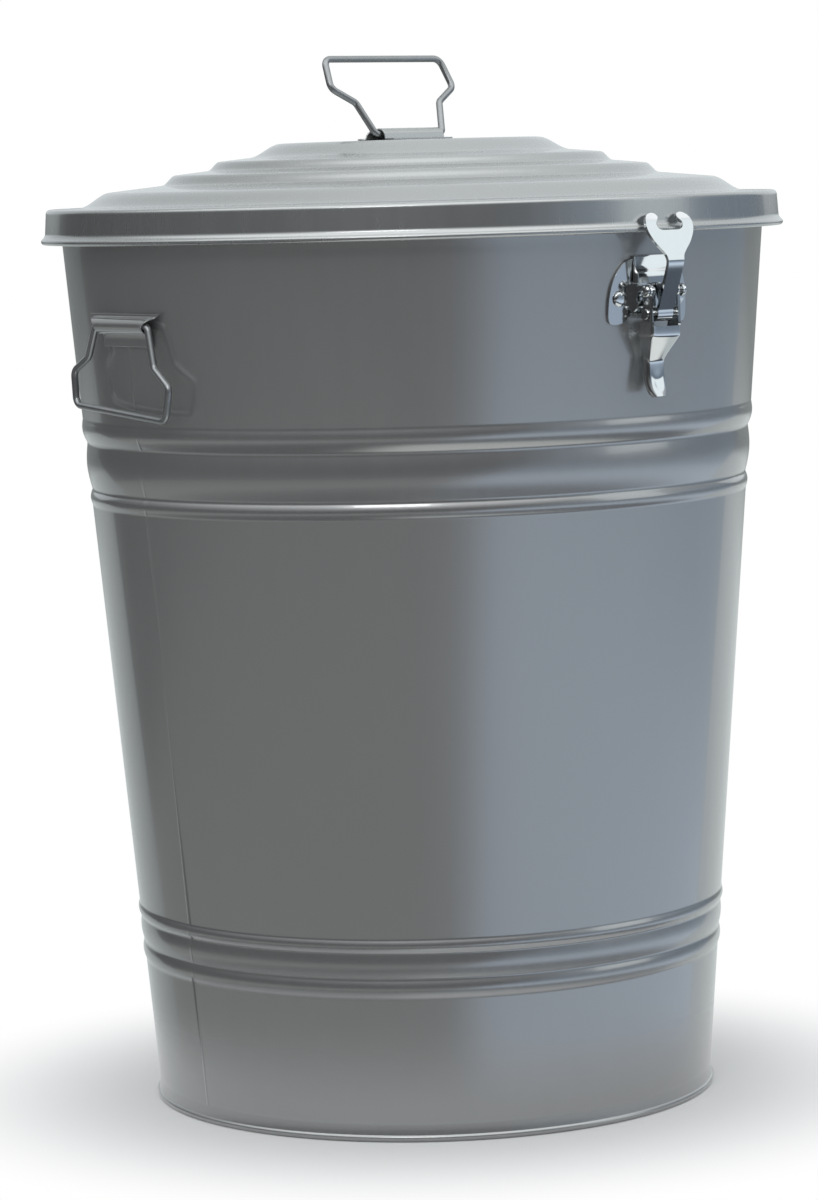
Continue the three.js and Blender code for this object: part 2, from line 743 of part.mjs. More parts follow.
const sideTurn = THREE.MathUtils.degToRad(handleTurn);
const trashCan = groupOf(
  bodyShell(),
  bottomPan(),
  sideHandle('left', -sideTurn),
  sideHandle('right', Math.PI - sideTurn),
  lidShell(),
  lidHandle(),
  latch('front', 0),
  latch('rear', Math.PI),
);

export default trashCan;
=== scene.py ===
"""A galvanized trash can: ribbed body, stepped lid, wire bails and toggle latches.

Shapes are drawn in millimetres in the solids' own frame, with +Z up and the front latch facing -Y, and are
finished in metres. What sits on the wall is drawn facing the front, as (across, out, up) from the wall, and
then turned to its place.
"""

import math

import bmesh
import bpy
from mathutils import Matrix, Vector, noise


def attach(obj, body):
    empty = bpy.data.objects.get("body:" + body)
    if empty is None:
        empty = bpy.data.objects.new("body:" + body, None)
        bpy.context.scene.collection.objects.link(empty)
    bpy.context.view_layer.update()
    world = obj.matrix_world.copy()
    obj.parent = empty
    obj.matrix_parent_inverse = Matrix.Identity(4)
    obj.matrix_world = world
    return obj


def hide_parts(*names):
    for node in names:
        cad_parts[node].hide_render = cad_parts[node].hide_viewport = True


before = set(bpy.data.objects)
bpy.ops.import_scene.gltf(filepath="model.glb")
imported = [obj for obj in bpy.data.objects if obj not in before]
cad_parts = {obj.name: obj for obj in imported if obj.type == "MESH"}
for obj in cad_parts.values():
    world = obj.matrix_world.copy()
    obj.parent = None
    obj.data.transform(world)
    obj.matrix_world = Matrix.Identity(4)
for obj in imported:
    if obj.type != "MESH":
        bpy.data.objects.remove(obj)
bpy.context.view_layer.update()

MM = 0.001
AROUND = 288  # steps round the wall and the lid
PIN_AROUND = 32
WIRE_AROUND = 20
BEND_STEPS = 6  # steps in each of a wire's bends
SHARP = math.radians(38)  # a face's turn from which its edge is sharp
BEVEL_FROM = math.radians(50)  # and from which it is rounded, where the piece has rounded edges
MERGE = 1e-3  # points closer than this are one
CUT_SNAP = 0.05  # a cut through a flat sheet takes the points this close to it
SHEET_MERGE = 0.08  # points of a cut sheet closer than this are one
NEAR_END = 0.8  # the points that keep a long stretch's ends crisp are this close to them

# Body
BODY_HEIGHT = 495.7
BOTTOM_RADIUS = 154.6
TOP_RADIUS = 195.2
BODY_SHEET = 0.7
RIM_BEAD = 2.8
FOOT_BEAD = 2.0
FOOT_FLARE = 0.5
FOOT_BLEND = 9.0
PAN_RISE = 9.0
PAN_SHEET = 0.8
PAN_FLANGE = 1.2
SEAT = 0.3  # between pieces that lie on one another
UPPER_BAND_TOP = 381.0
UPPER_BAND = {"height": 47.5, "low": 8.5, "high": 13.0, "depths": (0.9, 1.1), "swells": (1.1, 1.6, 1.4)}
LOWER_BAND_TOP = 110.0
LOWER_BAND = {"height": 32.0, "low": 10.5, "high": 7.5, "depths": (0.2, 0.2), "swells": (1.1, 0.9, 1.1)}
WALL_PIECE = 20.0  # the longest straight stretch of the wall's outline
SEAM_AZIMUTH = math.radians(-93)
SEAM_WIDTH = 3.6
SEAM_RISE = 0.28
SEAM_SUNK = 0.04  # how deep its two edges lie in the wall
SEAM_STEPS = 4
WAVES = (0.011, 0.007)  # how often the sheet waves, round the wall and up it
WAVE_DEPTH = 0.2
WAVE_FADE = 30.0  # height over which they fade out, at the foot and under the rim
WAVELESS_RIM = 10

# Lid
LID_SHEET = 0.7
SKIRT_TOP_RADIUS = 202.2
SKIRT_RADIUS = 203.0
SKIRT_DROP = 14.5
SKIRT_CORNER = 2.4
LIP_RADIUS = 205.3
LIP_HEIGHT = 4.9
LIP_CURL = 1.7
LIP_CURL_RISE = 1.9
LID_PIECE = 8.0  # the longest straight stretch of the lid's outline
SLOPE_STEPS = 12
TERRACES = (  # (shelf, its rise inwards, run and rise of the slope on its inner side)
    (19.0, 0.4, 18.0, 8.1), (28.0, 2.8, 8.0, 5.6), (17.5, 1.8, 7.0, 5.0), (15.5, 1.5, 19.0, 7.5))

# Bails and their brackets
WIRE = 1.9
PLAY = 0.35  # between a wire or a pin and the sheet round it
BAIL_GAP = 6.0  # from the bracket's middle to each end of the wire
BAIL = ((25.0, 0.0), (31.5, -19.5), (46.0, -28.5), (43.2, -46.5))  # right half: (across, up)
BAIL_BENDS = (3.4, 5.0, 5.0, 5.0)
BAIL_SKEW = math.radians(4.5)  # the side bails hang this much askew
PIVOT_OUT = 3.6
BARREL = 4.5
BRACKET_SHEET = 1.0
BRACKET_HALF = 22.3
BRACKET_EAR = 11.0
BRACKET_EAR_FOOT = -1.5
BRACKET_EAR_CURVE = 1.8
LONG_FLANGE = 7.0
SHORT_FLANGE = 1.6
BRACKET_STEPS = 12
HANDLE_HEIGHT = 435.5
HANDLE_TURN = math.radians(93)
LID_HANDLE_TURN = math.radians(3)
LID_HANDLE_LEAN = math.radians(26)

# Latches
LATCH_HEIGHT = 447.0
PIVOT_OUT_OF_WALL = 11.7
CLAW_PIN = (9.0, -12.0)  # (out, up) from the wall behind the lever's pivot
PIN = 2.0
PLATE_SHEET = 1.3
LEVER_SHEET = 1.2
LEVER_HALF = 10.4
CLAW_SHEET = 1.8
CLAW_EYE = 0.75  # half the sheet of the claw's eye
FINGER_LEAN = 0.35
EAR_SHEET = 1.4
EAR_MIDDLE = 11.6
EAR_ROUND = 3.5
EAR_GAP = 0.5
WING_HALF = 27.1
WING_LEVELS = range(-16, 20, 3)  # the lines that the base plate is cut along, to bend with the wall
WING_UPRIGHTS = [2.5 * i for i in range(-10, 11)]
BRIDGE_SIDE = ((12.3, 9.0), (12.3, 1.2), (12.15, 0.5), (11.7, 0.1), (11.0, 0.0))  # (across, set back)
WALL_RIVET = {"head": 4.2, "height": 1.9, "tail": 3.6}
WALL_SLACK = 0.4
SIDE_RIVET = {"head": 3.2, "height": 1.9, "tail": 2.9}
RIVET_ACROSS = 20.5
RIVET_DROP = 3.5
RIVET_TAIL = 0.8
PIN_PAST_LEVER = 1.0
PIN_PEEN = 0.8
PEEN_CUT = 0.35
WEB_TOP = -18.4  # the lever's web ends here, up from its pivot
WEB_EDGE = 1.6
LEVER_CORNER = 1.3
LEVER_CROWN = 0.25
DIMPLE = {"up": -48.0, "radius": 4.0, "depth": 0.9, "out": 6, "reach": 3}  # on the lever's grip
CLAW_STEP = 1.25  # between the lines that the claw is bent along

GUTTER_TOP = BODY_HEIGHT + SEAT + LID_SHEET
LID_TOP = GUTTER_TOP + sum(lean + drop for _, lean, _, drop in TERRACES)
LIP_TOP = GUTTER_TOP - SKIRT_DROP
WALL_TAPER = math.atan((TOP_RADIUS - BOTTOM_RADIUS) / BODY_HEIGHT)


def wall_radius(height):
    """The plain wall's outer radius at a height."""
    return BOTTOM_RADIUS + (TOP_RADIUS - BOTTOM_RADIUS) * height / BODY_HEIGHT


LATCH_WALL = wall_radius(LATCH_HEIGHT)
LIP_OUT = LIP_RADIUS - LATCH_WALL


# ---- outlines ----

def arc(centre, radius, start, end, steps):
    """Points round a centre, from one angle to another in degrees."""
    angles = [math.radians(start + (end - start) * i / steps) for i in range(steps + 1)]
    return [(centre[0] + radius * math.cos(a), centre[1] + radius * math.sin(a)) for a in angles]


def flowing(points, steps):
    """A smooth line through the points, with its ends straight."""
    padded = [points[0], *points, points[-1]]
    line = []
    for before, start, end, after in zip(padded, padded[1:], padded[2:], padded[3:]):
        for i in range(steps):
            t = i / steps
            line.append(tuple(
                0.5 * (2 * q + (r - p) * t + (2 * p - 5 * q + 4 * r - s) * t ** 2
                       + (3 * q - p - 3 * r + s) * t ** 3)
                for p, q, r, s in zip(before, start, end, after)))
    return [*line, points[-1]]


def offset(path, distance):
    """The path moved to its left by a distance."""
    def normal(a, b):
        """The unit vector to the left of the way from a to b."""
        length = math.dist(a, b)
        return ((a[1] - b[1]) / length, (b[0] - a[0]) / length)
    sides = [normal(a, b) for a, b in zip(path, path[1:])]
    line = []
    for point, before, after in zip(path, [sides[0], *sides], [*sides, sides[-1]]):
        spread = 1 + before[0] * after[0] + before[1] * after[1]
        line.append((point[0] + distance * (before[0] + after[0]) / spread,
                     point[1] + distance * (before[1] + after[1]) / spread))
    return line


def divided(path, longest):
    """The path with its long stretches cut up, and a point close to both ends of each."""
    line = []
    for start, end in zip(path, path[1:]):
        length = math.dist(start, end)
        shares = [0.0]
        if length > longest:
            count = math.ceil(length / longest)
            near = NEAR_END / length
            shares = sorted([0.0, near, *(i / count for i in range(1, count)), 1 - near])
        line += [tuple(a + (b - a) * t for a, b in zip(start, end)) for t in shares]
    return [*line, path[-1]]


def mirrored(half):
    """A closed outline from its right half, listed from the top down."""
    return [*half, *((-across, up) for across, up in reversed(half))]


# ---- meshes ----

def turned(outline, steps=AROUND):
    """A closed outline of (radius, height) turned about the upright axis."""
    mesh = bmesh.new()
    verts = [mesh.verts.new((radius, 0, height)) for radius, height in outline]
    edges = [mesh.edges.new(pair) for pair in zip(verts, verts[1:])]
    if outline[0][0] > 0 or outline[-1][0] > 0:
        edges.append(mesh.edges.new((verts[-1], verts[0])))
    bmesh.ops.spin(mesh, geom=verts + edges, cent=(0, 0, 0), axis=(0, 0, 1), angle=math.tau,
                   steps=steps, use_merge=True)
    bmesh.ops.remove_doubles(mesh, verts=mesh.verts, dist=MERGE)
    bmesh.ops.recalc_face_normals(mesh, faces=mesh.faces)
    return mesh


def flat_sheet(outline, levels=(), uprights=()):
    """A face of (across, up) at the wall, cut along levels and uprights so that it can be bent."""
    mesh = bmesh.new()
    mesh.faces.new([mesh.verts.new((across, 0, up)) for across, up in outline])
    cuts = [((0, 0, up), (0, 0, 1)) for up in levels] + [((x, 0, 0), (1, 0, 0)) for x in uprights]
    for place, direction in cuts:
        geometry = [*mesh.verts, *mesh.edges, *mesh.faces]
        bmesh.ops.bisect_plane(mesh, geom=geometry, dist=CUT_SNAP, plane_co=place, plane_no=direction)
    bmesh.ops.remove_doubles(mesh, verts=mesh.verts, dist=SHEET_MERGE)
    return mesh


def lofted(sections):
    """A skin over a row of lines of points."""
    mesh = bmesh.new()
    rows = []
    for section in sections:
        verts = [mesh.verts.new(point) for point in section]
        rows.append([mesh.edges.new(pair) for pair in zip(verts, verts[1:])])
    for row, following in zip(rows, rows[1:]):
        bmesh.ops.bridge_loops(mesh, edges=[*row, *following])
    return mesh


def joined(*meshes):
    """One mesh of several."""
    whole = bmesh.new()
    for mesh in meshes:
        part = bpy.data.meshes.new("part")
        mesh.to_mesh(part)
        mesh.free()
        whole.from_mesh(part)
        bpy.data.meshes.remove(part)
    return whole


def moved(mesh, matrix):
    """The mesh put where the matrix says."""
    bmesh.ops.transform(mesh, matrix=matrix, verts=mesh.verts)
    return mesh


def shaped(mesh, place):
    """Every point put where place says, from its own (x, y, z)."""
    for vert in mesh.verts:
        vert.co = place(*vert.co)
    return mesh


def finished(mesh, name, body, nodes, slot, material, sheet=0.0, edge=0.0, smooth=0):
    """The finished piece in metres, with its sheet thickness and rounded edges, on its body."""
    bmesh.ops.scale(mesh, vec=(MM, MM, MM), verts=mesh.verts)
    data = bpy.data.meshes.new(name)
    mesh.to_mesh(data)
    mesh.free()
    piece = bpy.data.objects.new(name, data)
    bpy.context.scene.collection.objects.link(piece)
    data.materials.append(material)
    data.shade_smooth()
    if smooth:
        curve = piece.modifiers.new("Smooth", "SUBSURF")
        curve.levels = curve.render_levels = smooth
    if sheet:
        solid = piece.modifiers.new("Sheet", "SOLIDIFY")
        solid.thickness = sheet * MM
        solid.offset = 0
        solid.use_even_offset = True
    if edge:
        bevel = piece.modifiers.new("Edges", "BEVEL")
        bevel.width = edge * MM
        bevel.segments = 2
        bevel.limit_method = "ANGLE"
        bevel.angle_limit = BEVEL_FROM
        bevel.harden_normals = True
    else:
        data.set_sharp_from_angle(angle=SHARP)
    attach(piece, body)
    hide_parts(*nodes)
    return piece


# ---- finishes ----

CLOUD_SCALE = 9.0
STREAK_SCALE = 3.0
STREAK_STRETCH = (60, 60, 4)
GRAIN_SCALE = 900.0
RELIEF_DEPTH = 0.0005


def new_group(name, inputs, outputs):
    """A shader node group with its named inputs and outputs, and its two end nodes."""
    group = bpy.data.node_groups.new(name, "ShaderNodeTree")
    for label, kind, value in inputs:
        socket = group.interface.new_socket(label, in_out="INPUT", socket_type=kind)
        socket.default_value = value
    for label, kind in outputs:
        group.interface.new_socket(label, in_out="OUTPUT", socket_type=kind)
    return group, group.nodes.new("NodeGroupInput"), group.nodes.new("NodeGroupOutput")


def add(tree, kind, **settings):
    """A new node in the tree, with its settings."""
    node = tree.nodes.new(kind)
    for key, value in settings.items():
        setattr(node, key, value)
    return node


def feed(tree, source, socket):
    """A socket fed from another one, or set to a number."""
    if isinstance(source, float):
        socket.default_value = source
    else:
        tree.links.new(source, socket)


def worked(tree, operation, *values):
    """The outcome of a math node, from sockets or numbers."""
    node = add(tree, "ShaderNodeMath", operation=operation)
    for source, socket in zip(values, node.inputs):
        feed(tree, source, socket)
    return node.outputs[0]


def noise_field(tree, vector, scale, detail=2.0):
    """A noise from 0 to 1."""
    node = add(tree, "ShaderNodeTexNoise")
    node.inputs["Scale"].default_value = scale
    node.inputs["Detail"].default_value = detail
    tree.links.new(vector, node.inputs["Vector"])
    return node.outputs["Fac"]


def zinc_group():
    """Cloudy zinc: slow patches of tone, a fine grain, and a sheet that isn't quite even."""
    group, inlet, outlet = new_group("zinc_sheet", [
        ("Color", "NodeSocketColor", (0.5, 0.5, 0.5, 1)),
        ("Cloud", "NodeSocketFloat", 0.1),
        ("Roughness", "NodeSocketFloat", 0.3),
        ("Spread", "NodeSocketFloat", 0.08),
    ], [("Color", "NodeSocketColor"), ("Roughness", "NodeSocketFloat"), ("Height", "NodeSocketFloat")])
    link = group.links.new
    place = add(group, "ShaderNodeTexCoord").outputs["Object"]
    stretch = add(group, "ShaderNodeMapping")
    stretch.inputs["Scale"].default_value = STREAK_STRETCH
    link(place, stretch.inputs["Vector"])
    cloud = noise_field(group, place, CLOUD_SCALE, 5.0)
    streak = noise_field(group, stretch.outputs["Vector"], STREAK_SCALE)
    grain = noise_field(group, place, GRAIN_SCALE, 3.0)

    def centred(source, amount):
        """The noise about zero, times an amount."""
        return worked(group, "MULTIPLY", worked(group, "SUBTRACT", source, 0.5), amount)

    tone = 1.0
    for source in (cloud, streak, grain):
        tone = worked(group, "ADD", tone, centred(source, inlet.outputs["Cloud"]))
    shade = add(group, "ShaderNodeVectorMath", operation="SCALE")
    link(inlet.outputs["Color"], shade.inputs[0])
    link(tone, shade.inputs["Scale"])
    link(shade.outputs[0], outlet.inputs["Color"])
    rough = inlet.outputs["Roughness"]
    for source in (cloud, streak):
        rough = worked(group, "ADD", rough, centred(source, inlet.outputs["Spread"]))
    link(rough, outlet.inputs["Roughness"])
    link(grain, outlet.inputs["Height"])
    return group


ZINC = zinc_group()


def metal(name, color, metallic, roughness, cloud, spread=0.08, bump=0.02, coat=0.0, coat_rough=0.1):
    """A finish of the shared zinc group with its own tone and gloss."""
    material = bpy.data.materials.new(name)
    material.use_nodes = True
    tree = material.node_tree
    shader = tree.nodes["Principled BSDF"]
    zinc = add(tree, "ShaderNodeGroup", node_tree=ZINC)
    zinc.inputs["Color"].default_value = (*color, 1)
    zinc.inputs["Cloud"].default_value = cloud
    zinc.inputs["Roughness"].default_value = roughness
    zinc.inputs["Spread"].default_value = spread
    relief = add(tree, "ShaderNodeBump")
    relief.inputs["Strength"].default_value = bump
    relief.inputs["Distance"].default_value = RELIEF_DEPTH
    tree.links.new(zinc.outputs["Color"], shader.inputs["Base Color"])
    tree.links.new(zinc.outputs["Roughness"], shader.inputs["Roughness"])
    tree.links.new(zinc.outputs["Height"], relief.inputs["Height"])
    tree.links.new(relief.outputs["Normal"], shader.inputs["Normal"])
    shader.inputs["Metallic"].default_value = metallic
    shader.inputs["Coat Weight"].default_value = coat
    shader.inputs["Coat Roughness"].default_value = coat_rough
    return material


BODY_FINISH = metal("galvanized_body", (0.33, 0.335, 0.335), 0.75, 0.25, cloud=0.06, spread=0.04,
                    coat=0.9, coat_rough=0.03)
# The lid is the same galvanized sheet as the body. Its base colour is painted lighter than the body's to
# stand in for the light that falls on the lid from above, and the lid's bracket takes the same painted light.
LID_FINISH_PAINTED_LIGHTER = metal("galvanized_lid", (0.40, 0.41, 0.41), 0.88, 0.27, cloud=0.04, spread=0.05,
                   bump=0.005, coat=0.45, coat_rough=0.05)
WIRE_FINISH = metal("bail_wire", (0.30, 0.31, 0.315), 0.9, 0.3, cloud=0.2)
LATCH_FINISH = metal("bright_plating", (0.62, 0.64, 0.65), 1.0, 0.09, cloud=0.05, spread=0.05, bump=0.01)


# ---- body ----

def swelling(start, end, depths, swell, steps=10):
    """One rib or belly of a band: a bow from one height to the next, over the line between the depths."""
    points = []
    for i in range(1, steps + 1):
        t = i / steps
        height = start + (end - start) * t
        rise = swell * math.sin(math.pi * t) - (depths[0] + (depths[1] - depths[0]) * t)
        points.append((wall_radius(height) + rise, height))
    return points


def band(top, form):
    """A ribbed band of the wall, from its lower edge up: low rib, belly and high rib."""
    bottom = top - form["height"]
    low, high = bottom + form["low"], top - form["high"]
    low_depth, high_depth = form["depths"]
    low_swell, belly_swell, high_swell = form["swells"]
    return [
        (wall_radius(bottom), bottom),
        *swelling(bottom, low, (0, low_depth), low_swell),
        *swelling(low, high, (low_depth, high_depth), belly_swell, steps=16),
        *swelling(high, top, (high_depth, 0), high_swell),
    ]


def wall_line():
    """The wall's outer side, from above the foot to under the rim."""
    rim_entry = BODY_HEIGHT - 2 * RIM_BEAD
    return divided([
        (wall_radius(FOOT_BLEND), FOOT_BLEND),
        *band(LOWER_BAND_TOP, LOWER_BAND),
        *band(UPPER_BAND_TOP, UPPER_BAND),
        (wall_radius(rim_entry), rim_entry),
    ], WALL_PIECE)


def settled(x, y, z):
    """The sheet's slow unevenness, which fades out towards the foot and the rim."""
    outwards = Vector((x, y, 0)).normalized()
    push = WAVE_DEPTH * noise.noise(Vector((x * WAVES[0], y * WAVES[0], z * WAVES[1])))
    fade = max(0.0, min(1.0, z / WAVE_FADE, (BODY_HEIGHT - WAVELESS_RIM - z) / WAVE_FADE))
    return Vector((x, y, z)) + outwards * push * fade


def make_wall():
    """The wall, with its rim rolled round above and its hem below."""
    line = wall_line()
    bead = (line[-1][0] + RIM_BEAD - BODY_SHEET, BODY_HEIGHT - RIM_BEAD)
    foot = BOTTOM_RADIUS + FOOT_FLARE
    outline = [
        (foot - BODY_SHEET, 0.0),
        *arc((foot, FOOT_BEAD), FOOT_BEAD, -90, 60, 8),
        *line[:-1],
        *arc(bead, RIM_BEAD, -130, 180, 18),
        *reversed(offset(line[:-1], BODY_SHEET)),
    ]
    return finished(shaped(turned(outline), settled), "wall", "body", ["body_shell"], "galvanized_body",
                    BODY_FINISH)


def make_seam():
    """The welded seam: a low round ridge that follows the wall and its ribs."""
    line = wall_line()
    buried = offset(line, BODY_SHEET / 2)
    sections = []
    for step in range(-SEAM_STEPS, SEAM_STEPS + 1):
        share = step / SEAM_STEPS
        rise = SEAM_RISE * math.cos(share * math.pi / 2) ** 2 - SEAM_SUNK
        angle = SEAM_AZIMUTH - math.pi / 2 + share * SEAM_WIDTH / (2 * TOP_RADIUS)
        crest = offset(line, -rise)
        sections.append([(radius * math.cos(angle), radius * math.sin(angle), height)
                         for radius, height in (buried[0], *crest, buried[-1])])
    mesh = shaped(lofted(sections), settled)
    bmesh.ops.holes_fill(mesh, edges=mesh.edges, sides=0)
    bmesh.ops.recalc_face_normals(mesh, faces=mesh.faces)
    return finished(mesh, "wall_seam", "body", ["body_shell"], "galvanized_body", BODY_FINISH)


def make_pan():
    """The bottom, pressed up inside the foot."""
    inside = wall_radius(PAN_RISE) - BODY_SHEET - SEAT
    foot = wall_radius(SEAT) - BODY_SHEET - SEAT
    top = [
        (0.0, PAN_RISE),
        *arc((inside - PAN_FLANGE, PAN_RISE - PAN_FLANGE), PAN_FLANGE, 90, 0, 6),
        (foot, SEAT),
    ]
    outline = [*top, *reversed(offset(top, -PAN_SHEET))]
    return finished(turned(outline), "pan", "body", ["bottom_pan"], "galvanized_body", BODY_FINISH)


# ---- lid ----

def lid_line():
    """The lid's upper side, from the lip up over the skirt and the terraces to the middle."""
    corner = (SKIRT_TOP_RADIUS - SKIRT_CORNER, GUTTER_TOP - SKIRT_CORNER)
    line = [
        *arc((LIP_RADIUS - LIP_CURL, LIP_TOP - LIP_HEIGHT + LIP_CURL_RISE), LIP_CURL, -80, 60, 8),
        (SKIRT_RADIUS + 0.5, LIP_TOP - 0.5),
        (SKIRT_RADIUS, LIP_TOP + 0.6),
        *arc(corner, SKIRT_CORNER, 0, 90, 8),
    ]
    radius, level = SKIRT_RADIUS, GUTTER_TOP
    for shelf, lean, run, drop in TERRACES:
        radius -= shelf
        level += lean
        for i in range(SLOPE_STEPS + 1):
            t = i / SLOPE_STEPS
            line.append((radius - run * t, level + drop * (1 - math.cos(math.pi * t)) / 2))
        radius -= run
        level += drop
    return divided([*line, (0.0, LID_TOP)], LID_PIECE)


def make_lid():
    """The lid, one sheet thick all over."""
    line = lid_line()
    under = offset(line, LID_SHEET)
    under[-1] = (0.0, LID_TOP - LID_SHEET)
    mesh = turned([*reversed(under), *line])
    return finished(mesh, "lid", "lid", ["lid_shell"], "galvanized_lid", LID_FINISH_PAINTED_LIGHTER)


# ---- bails and brackets ----

def bent_wire(corners, bends, radius):
    """A wire drawn along straight stretches and bent round each corner, closed at both ends."""
    mesh = bmesh.new()
    places = [Vector((x, 0, z)) for x, z in corners]
    along = (places[1] - places[0]).normalized()
    facing = Vector((0, 0, 1)).rotation_difference(along).to_matrix().to_4x4()
    start = Matrix.Translation(places[0]) @ facing
    bmesh.ops.create_circle(mesh, cap_ends=True, segments=WIRE_AROUND, radius=radius, matrix=start)
    ring = list(mesh.faces)
    spot = places[0]
    for corner, following, bend in zip(places[1:], places[2:], bends):
        into, out = (corner - spot).normalized(), (following - corner).normalized()
        turn = into.angle(out)
        reach = bend * math.tan(turn / 2)
        ring = drawn(mesh, ring, corner - into * reach - spot)
        axis = into.cross(out).normalized()
        centre = corner - into * reach + axis.cross(into) * bend
        swung = bmesh.ops.spin(mesh, geom=ring, cent=centre, axis=axis, angle=turn, steps=BEND_STEPS)
        ring = [f for f in swung["geom_last"] if isinstance(f, bmesh.types.BMFace)]
        spot = corner + out * reach
    drawn(mesh, ring, places[-1] - spot)
    bmesh.ops.remove_doubles(mesh, verts=mesh.verts, dist=MERGE)
    bmesh.ops.recalc_face_normals(mesh, faces=mesh.faces)
    return mesh


def drawn(mesh, ring, along):
    """The wire's end face drawn out by a straight stretch."""
    stretched = bmesh.ops.extrude_face_region(mesh, geom=ring)
    verts = [v for v in stretched["geom"] if isinstance(v, bmesh.types.BMVert)]
    bmesh.ops.translate(mesh, vec=along, verts=verts)
    bmesh.ops.delete(mesh, geom=ring, context="FACES")
    return [f for f in stretched["geom"] if isinstance(f, bmesh.types.BMFace)]


def bail(skew):
    """The bail, hanging from its pins in the plane of x and z."""
    spin = Matrix.Rotation(-skew, 2)
    right = [BAIL[0], *(tuple(spin @ Vector(p)) for p in BAIL[1:])]
    left = [(-BAIL[0][0], 0.0), *(tuple(spin @ Vector((-x, z))) for x, z in BAIL[1:])]
    corners = [(BAIL_GAP, 0.0), *right, *reversed(left), (-BAIL_GAP, 0.0)]
    return bent_wire(corners, [*BAIL_BENDS, *reversed(BAIL_BENDS)], WIRE)


def bracket():
    """The sheet round the pins: its long flange below, its short one above with two pointed ears."""
    seat = SEAT + BRACKET_SHEET / 2
    middle = BARREL - BRACKET_SHEET / 2
    centre = PIVOT_OUT + WIRE + PLAY - (BARREL - BRACKET_SHEET)
    line = [
        (seat, -BARREL - LONG_FLANGE), (seat, -BARREL - LONG_FLANGE / 2), (seat, -middle - 1.2),
        (seat + 0.4, -middle - 0.2), *arc((centre, 0), middle, -80, 80, 10),
        (seat + 0.4, middle + 0.2), (seat, middle + 0.9), (seat, BARREL + SHORT_FLANGE),
    ]
    ear_top = BARREL + SHORT_FLANGE

    def half(up):
        """Half the sheet's length at a height of its section."""
        share = max(0.0, (up - BRACKET_EAR_FOOT) / (ear_top - BRACKET_EAR_FOOT))
        return BRACKET_HALF + BRACKET_EAR * share ** BRACKET_EAR_CURVE

    sections = []
    for i in range(BRACKET_STEPS + 1):
        t = 2 * i / BRACKET_STEPS - 1
        sections.append([(t * half(up), -out, up) for out, up in line])
    return lofted(sections)


def hung(parent, lean):
    """Where a bail hangs in its bracket: out from the sheet, leaning by an angle about its pins."""
    return parent @ Matrix.Translation((0, -PIVOT_OUT, 0)) @ Matrix.Rotation(lean, 4, "X")


def make_handle(name, nodes, parent, lean, skew, bodies, slot, finish):
    """A bracket and the bail that hangs in it, each on its own body."""
    bracket_name, wire_name = nodes
    finished(moved(bracket(), parent), bracket_name.replace("handle", "bail"), bodies[0], [bracket_name],
             slot, finish, sheet=BRACKET_SHEET, edge=0.3)
    return finished(moved(bail(skew), hung(parent, lean)), name, bodies[1], [wire_name], "wire",
                    WIRE_FINISH, edge=0.4)


def make_handles():
    """The two side bails on the wall and the one on the lid."""
    at_wall = Matrix.Translation((0, -wall_radius(HANDLE_HEIGHT), HANDLE_HEIGHT))
    for side, turn in (("left", -HANDLE_TURN), ("right", math.pi - HANDLE_TURN)):
        parent = Matrix.Rotation(turn, 4, "Z") @ at_wall @ Matrix.Rotation(WALL_TAPER, 4, "X")
        make_handle(f"bail_{side}", (f"handle_bracket_{side}", f"handle_wire_{side}"), parent, -WALL_TAPER,
                    BAIL_SKEW, ("body", f"handle_{side}"), "galvanized_body", BODY_FINISH)
    parent = (Matrix.Translation((0, 0, LID_TOP)) @ Matrix.Rotation(LID_HANDLE_TURN, 4, "Z")
              @ Matrix.Rotation(-math.pi / 2, 4, "X"))
    make_handle("bail_lid", ("lid_handle_bracket", "lid_handle_wire"), parent,
                -math.pi / 2 - LID_HANDLE_LEAN, 0.0, ("lid", "lid_handle"), "galvanized_lid", LID_FINISH_PAINTED_LIGHTER)


# ---- latches ----

def on_wall(across, out, up):
    """A point of a sheet that follows the wall beside the latch."""
    radius = wall_radius(LATCH_HEIGHT + up) + out
    angle = across / LATCH_WALL
    return Vector((radius * math.sin(angle), LATCH_WALL - radius * math.cos(angle), up))


def wings():
    """The base plate, bent to the wall, with its wings on both sides."""
    half = flowing([(10.0, 17.2), (14.5, 16.6), (18.6, 14.6), (22.8, 9.6), (25.6, 3.5), (WING_HALF, -4.0),
                    (27.4, -11.0), (26.9, -14.8), (25.2, -16.6), (20.5, -16.8), (16.4, -15.4),
                    (13.2, -12.4), (9.0, -11.6)], 4)
    mesh = flat_sheet(mirrored(half), WING_LEVELS, WING_UPRIGHTS)
    seat = SEAT + PLATE_SHEET / 2
    return shaped(mesh, lambda x, y, z: on_wall(x, seat, z))


def bridge():
    """The raised middle of the base: sloping above, upright below, open at the bottom."""
    foot = wall_radius(LATCH_HEIGHT + 18) - LATCH_WALL + SEAT + PLATE_SHEET / 2
    line = [(foot, 18.3), (foot + 0.3, 17.4), (2.4, 13.4), (3.9, 10.4), (4.4, 9.6), (4.6, 8.8), (4.6, 6.5),
            (4.6, 4.2)]
    left = [(-across, drop) for across, drop in BRIDGE_SIDE]
    sections = []
    for across, drop in (*left, (0.0, 0.0), *reversed(BRIDGE_SIDE)):
        sections.append([(across, -max(foot, out - drop), up) for out, up in line])
    return lofted(sections)


